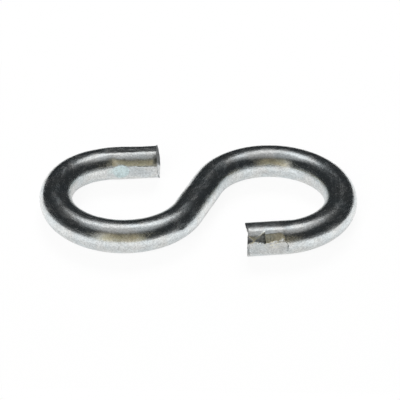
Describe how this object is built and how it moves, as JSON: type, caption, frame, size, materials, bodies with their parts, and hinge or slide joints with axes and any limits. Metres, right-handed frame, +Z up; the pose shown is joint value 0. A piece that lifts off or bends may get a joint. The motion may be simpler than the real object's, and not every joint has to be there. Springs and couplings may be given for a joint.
{
  "type": "s hook",
  "caption": "Open S-shaped hook bent from one length of round zinc-plated wire, to link a chain, rope or ring to another.",
  "frame": {"origin": "middle of the hook's outline, on the surface that it lies on", "axes": "+X along the hook's length, towards the right loop; +Y across it, towards the far side; +Z up, across the wire"},
  "size_m": [0.0584, 0.0318, 0.006],
  "materials": {
    "zinc_wire": "bright zinc plating, smooth and faintly mottled, with bare shear-cut ends"
  },
  "bodies": {
    "root": {"s_hook": "zinc_wire"}
  },
  "joints": []
}
